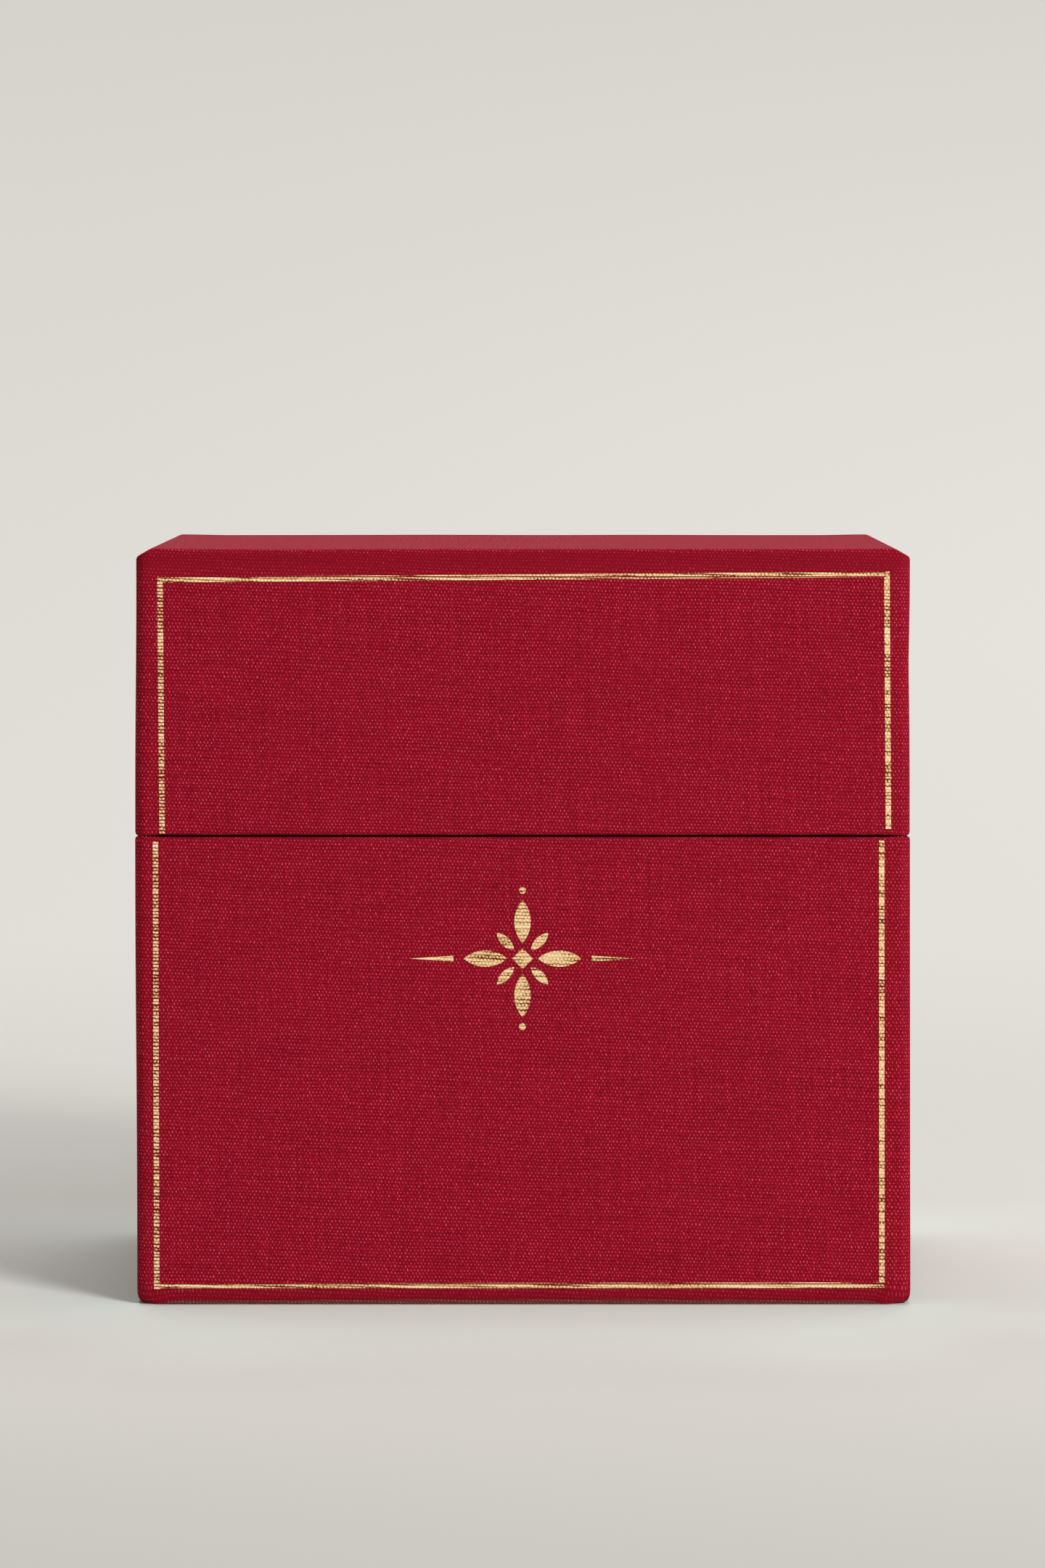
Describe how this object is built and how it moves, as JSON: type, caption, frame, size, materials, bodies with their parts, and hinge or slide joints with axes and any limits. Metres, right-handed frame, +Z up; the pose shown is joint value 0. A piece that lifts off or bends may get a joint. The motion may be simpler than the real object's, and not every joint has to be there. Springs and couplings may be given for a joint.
{
  "type": "index card box",
  "caption": "Upright cloth-covered card box with a hinged flip-top lid, an inner neck tray and tabbed dividers with loose cards.",
  "frame": {"origin": "middle of the underside, on the table", "axes": "+Z up, -Y towards the front with the gold frame, +X to the right as seen from the front"},
  "size_m": [0.17, 0.11, 0.1666],
  "materials": {
    "book_cloth": "woven linen-look book cloth, deep red",
    "gold_foil": "hot-stamped gold film on the thread crowns",
    "greyboard": "raw grey binder's board",
    "lining_paper": "matt dark red lining paper",
    "divider_card": "uncoated buff card",
    "index_card": "uncoated ivory card"
  },
  "bodies": {
    "base": {"back_cloth_lower": "book_cloth", "base_back_board": "greyboard", "base_cover_cloth": "book_cloth", "base_floor_board": "greyboard", "base_front_board": "greyboard", "base_left_board": "greyboard", "base_right_board": "greyboard", "floor_paper": "lining_paper", "foil_line_base": "gold_foil", "foil_ornament": "gold_foil", "foot_plate_board": "greyboard", "foot_plate_cloth": "book_cloth", "hinge_strip_lower": "book_cloth", "neck_back_board": "greyboard", "neck_back_paper": "lining_paper", "neck_front_board": "greyboard", "neck_front_paper": "lining_paper", "neck_left_board": "greyboard", "neck_left_paper": "lining_paper", "neck_right_board": "greyboard", "neck_right_paper": "lining_paper"},
    "lid": {"back_cloth_upper": "book_cloth", "foil_line_lid": "gold_foil", "hinge_strip_upper": "book_cloth", "lid_back_board": "greyboard", "lid_back_paper": "lining_paper", "lid_ceiling_paper": "lining_paper", "lid_cover_cloth": "book_cloth", "lid_front_board": "greyboard", "lid_front_paper": "lining_paper", "lid_left_board": "greyboard", "lid_left_paper": "lining_paper", "lid_right_board": "greyboard", "lid_right_paper": "lining_paper", "lid_top_board": "greyboard"},
    "section_1": {"divider_1": "divider_card", "cards_1": "index_card"},
    "section_2": {"divider_2": "divider_card", "cards_2": "index_card"},
    "section_3": {"divider_3": "divider_card", "cards_3": "index_card"},
    "section_4": {"divider_4": "divider_card", "cards_4": "index_card"},
    "section_5": {"divider_5": "divider_card", "cards_5": "index_card"}
  },
  "joints": [
    {"name": "lid_hinge", "type": "hinge", "parent": "base", "child": "lid", "pos_m": [0, 0.055, 0.1033], "axis": [-1, 0, 0], "range_deg": [0, 175]},
    {"name": "section_1_tip", "type": "hinge", "parent": "base", "child": "section_1", "pos_m": [0, -0.00184, 0.00525], "axis": [1, 0, 0], "range_deg": [0, 14.4]},
    {"name": "section_2_tip", "type": "hinge", "parent": "base", "child": "section_2", "pos_m": [0, 0.00777, 0.00525], "axis": [1, 0, 0], "range_deg": [0, 11.54]},
    {"name": "section_3_tip", "type": "hinge", "parent": "base", "child": "section_3", "pos_m": [0, 0.01737, 0.00525], "axis": [1, 0, 0], "range_deg": [0, 8.66]},
    {"name": "section_4_tip", "type": "hinge", "parent": "base", "child": "section_4", "pos_m": [0, 0.02698, 0.00525], "axis": [1, 0, 0], "range_deg": [0, 5.78]},
    {"name": "section_5_tip", "type": "hinge", "parent": "base", "child": "section_5", "pos_m": [0, 0.03659, 0.00525], "axis": [1, 0, 0], "range_deg": [0, 2.9]}
  ],
  "couplings": [
    {"joint": "section_2_tip", "follows": "section_1_tip", "ratio": 0.8},
    {"joint": "section_3_tip", "follows": "section_1_tip", "ratio": 0.6},
    {"joint": "section_4_tip", "follows": "section_1_tip", "ratio": 0.4},
    {"joint": "section_5_tip", "follows": "section_1_tip", "ratio": 0.2}
  ]
}
